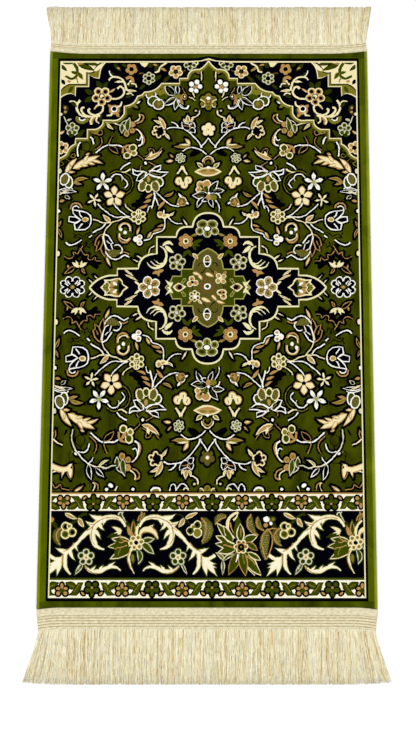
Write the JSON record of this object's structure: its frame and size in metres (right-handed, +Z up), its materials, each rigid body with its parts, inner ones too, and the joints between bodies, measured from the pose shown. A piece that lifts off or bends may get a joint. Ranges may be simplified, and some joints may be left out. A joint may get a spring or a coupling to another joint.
{
  "type": "prayer rug",
  "caption": "Flat rectangular plush prayer rug with a floral arch field and a ribbed braid of loose yarn fringe across each short end.",
  "frame": {"origin": "middle of the footprint, on the surface that the rug lies on", "axes": "+Z up out of the pile, +Y along the rug towards the arch end, +X across the rug"},
  "size_m": [0.5327, 1.0434, 0.006],
  "materials": {
    "pile": "dense cut pile, deep green ground with navy, cream and tan motifs",
    "fringe": "cream cotton yarn, ribbed woven braid and loose strands"
  },
  "bodies": {
    "root": {"rug_cloth": "pile", "fringe_head": "fringe", "fringe_foot": "fringe"}
  },
  "joints": []
}
